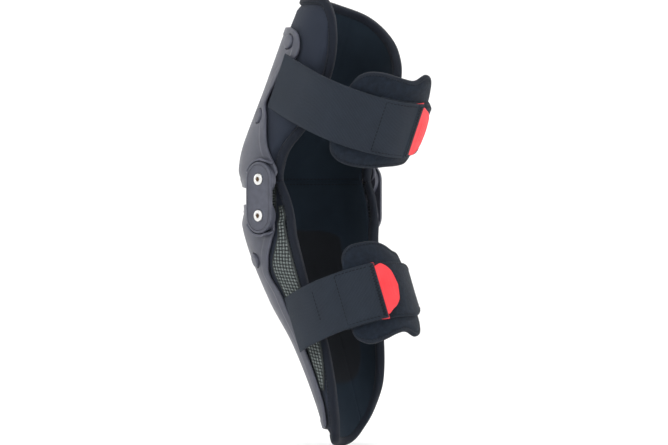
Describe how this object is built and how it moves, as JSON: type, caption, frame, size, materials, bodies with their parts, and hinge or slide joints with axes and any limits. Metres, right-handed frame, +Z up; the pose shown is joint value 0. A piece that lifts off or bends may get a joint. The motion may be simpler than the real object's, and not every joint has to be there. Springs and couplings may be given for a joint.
{
  "type": "hinged knee guard",
  "caption": "Hinged knee and shin guard: padded panels, moulded shells joined by side plates with two pivots each, and two wrap-round hook-and-loop straps.",
  "frame": {"origin": "centre of the knee, midway between the two pivots of each side hinge", "axes": "+Z up the thigh, -Y to the front of the knee, +X to the outer side of the left leg; the hinge axes lie along X"},
  "size_m": [0.1544, 0.2152, 0.4204],
  "materials": {
    "shell": "satin moulded slate grey",
    "plate": "satin moulded near black",
    "steel": "bright turned",
    "bush": "sintered",
    "textile": "dark navy-black stretch textile over foam",
    "foam": "moulded foam",
    "liner": "near black knit",
    "binding": "ribbed elastic tape",
    "mesh": "coarse grey-green spacer mesh",
    "webbing": "woven elastic webbing",
    "hook": "hook tape",
    "red_tab": "soft moulded rubber",
    "brushed": "brushed loop pile over foam"
  },
  "bodies": {
    "thigh": {"thigh_shell": "shell", "thigh_pad": "textile", "knee_impact_pad": "foam", "thigh_liner": "liner", "thigh_binding": "binding", "thigh_rivet_left_1": "plate", "thigh_rivet_left_2": "plate", "thigh_rivet_right_1": "plate", "thigh_rivet_right_2": "plate", "upper_loop_band": "webbing", "upper_back_pad": "brushed"},
    "left_link": {"hinge_plate_left": "plate", "pivot_screw_left_upper": "steel", "pivot_screw_left_lower": "steel", "pivot_nut_left_upper": "steel", "pivot_nut_left_lower": "steel", "pivot_bush_left_upper": "bush", "pivot_bush_left_lower": "bush", "knee_gusset": "mesh"},
    "right_link": {"hinge_plate_right": "plate", "pivot_screw_right_upper": "steel", "pivot_screw_right_lower": "steel", "pivot_nut_right_upper": "steel", "pivot_nut_right_lower": "steel", "pivot_bush_right_upper": "bush", "pivot_bush_right_lower": "bush"},
    "shin": {"shin_shell": "shell", "shin_pad": "textile", "shin_impact_pad": "foam", "shin_liner": "liner", "shin_binding": "binding", "shin_rivet_left": "plate", "shin_rivet_right": "plate", "shin_mesh_left": "mesh", "shin_mesh_right": "mesh", "lower_loop_band": "webbing", "lower_back_pad": "brushed"},
    "upper_strap_flap": {"upper_strap": "webbing", "upper_strap_hook": "hook", "upper_strap_tab": "red_tab"},
    "lower_strap_flap": {"lower_strap": "webbing", "lower_strap_hook": "hook", "lower_strap_tab": "red_tab"}
  },
  "joints": [
    {"name": "thigh_pivot", "type": "hinge", "parent": "thigh", "child": "left_link", "pos_m": [0, 0, 0.017], "axis": [1, 0, 0], "range_deg": [-7, 20]},
    {"name": "shin_pivot", "type": "hinge", "parent": "left_link", "child": "shin", "pos_m": [0, 0, -0.017], "axis": [1, 0, 0], "range_deg": [-7, 20]},
    {"name": "right_thigh_pivot", "type": "hinge", "parent": "thigh", "child": "right_link", "pos_m": [0, 0, 0.017], "axis": [1, 0, 0], "range_deg": [-7, 20]},
    {"name": "upper_strap_open", "type": "hinge", "parent": "thigh", "child": "upper_strap_flap", "pos_m": [0.0668, 0.0135, 0.1106], "axis": [0, -0.4147, -0.91], "range_deg": [0, 65]},
    {"name": "lower_strap_open", "type": "hinge", "parent": "shin", "child": "lower_strap_flap", "pos_m": [0.0551, 0.0252, -0.1194], "axis": [0, 0.3795, -0.9252], "range_deg": [0, 65]}
  ],
  "couplings": [
    {"joint": "shin_pivot", "follows": "thigh_pivot", "ratio": 1},
    {"joint": "right_thigh_pivot", "follows": "thigh_pivot", "ratio": 1}
  ]
}
